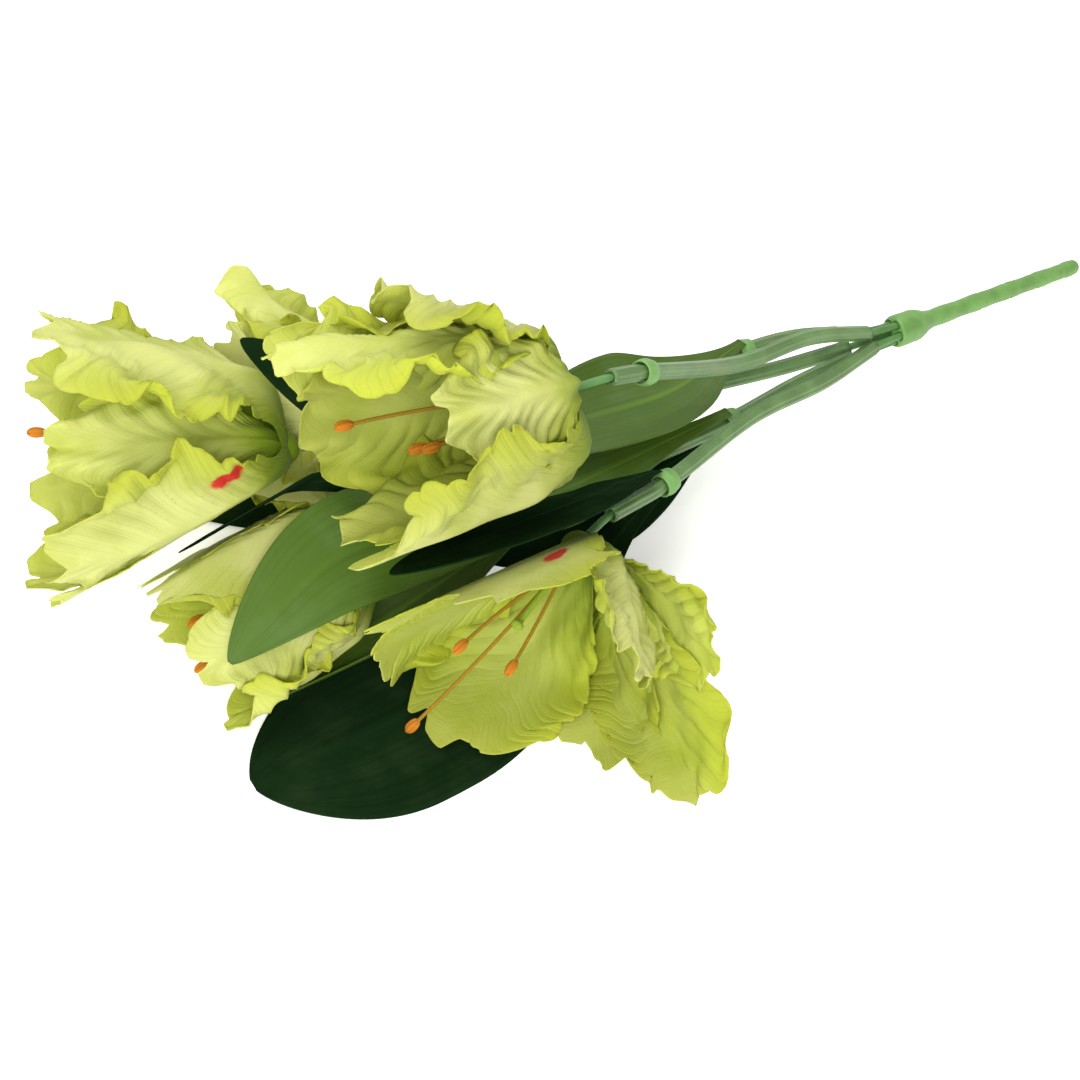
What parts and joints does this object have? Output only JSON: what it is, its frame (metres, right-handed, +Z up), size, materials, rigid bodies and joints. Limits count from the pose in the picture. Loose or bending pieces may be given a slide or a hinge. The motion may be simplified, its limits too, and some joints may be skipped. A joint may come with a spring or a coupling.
{
  "type": "artificial parrot tulip bunch",
  "caption": "Artificial parrot tulip bunch lying on its side: ruffled yellow-green silk blooms, broad leaves and ridged stem sleeves, all socketed into one moulded main stem.",
  "frame": {"origin": "on the table, in the middle of the small flat spot under the end of the main stem", "axes": "+Z up from the table; +X along the bunch, from the blooms to the end of the main stem; +Y to the far side of the bunch as it lies"},
  "size_m": [0.4622, 0.2397, 0.1592],
  "materials": {
    "main_stem": "moulded soft plastic, satin",
    "stem": "plastic-coated wire, satin",
    "sleeve": "ridged soft plastic tube, matt",
    "collar": "moulded soft plastic, satin",
    "petals": "printed silk cloth, soft sheen, ruffled",
    "stamens": "flocked plastic, matt",
    "dark_leaf": "coated cloth, satin",
    "mid_leaf": "printed cloth, matt"
  },
  "bodies": {
    "root": {"bloom_a_petals": "petals", "bloom_a_stamens": "stamens", "bloom_b_petals": "petals", "bloom_b_stamens": "stamens", "bloom_c_petals": "petals", "bloom_c_stamens": "stamens", "bloom_d_petals": "petals", "bloom_d_stamens": "stamens", "bloom_e_petals": "petals", "bloom_e_stamens": "stamens", "main_stem": "main_stem", "stem_a": "stem", "sleeve_a": "sleeve", "stem_b": "stem", "sleeve_b": "sleeve", "stem_c": "stem", "sleeve_c": "sleeve", "stem_d": "stem", "sleeve_d": "sleeve", "stem_e": "stem", "sleeve_e": "sleeve", "collar_1": "collar", "collar_2": "collar", "collar_3": "collar", "collar_4": "collar", "collar_5": "collar", "collar_6": "collar", "collar_7": "collar", "leaf_1": "mid_leaf", "leaf_2": "dark_leaf", "leaf_3": "mid_leaf", "leaf_4": "dark_leaf", "leaf_5": "dark_leaf", "leaf_6": "mid_leaf", "leaf_7": "dark_leaf", "leaf_8": "dark_leaf", "leaf_9": "dark_leaf"}
  },
  "joints": []
}
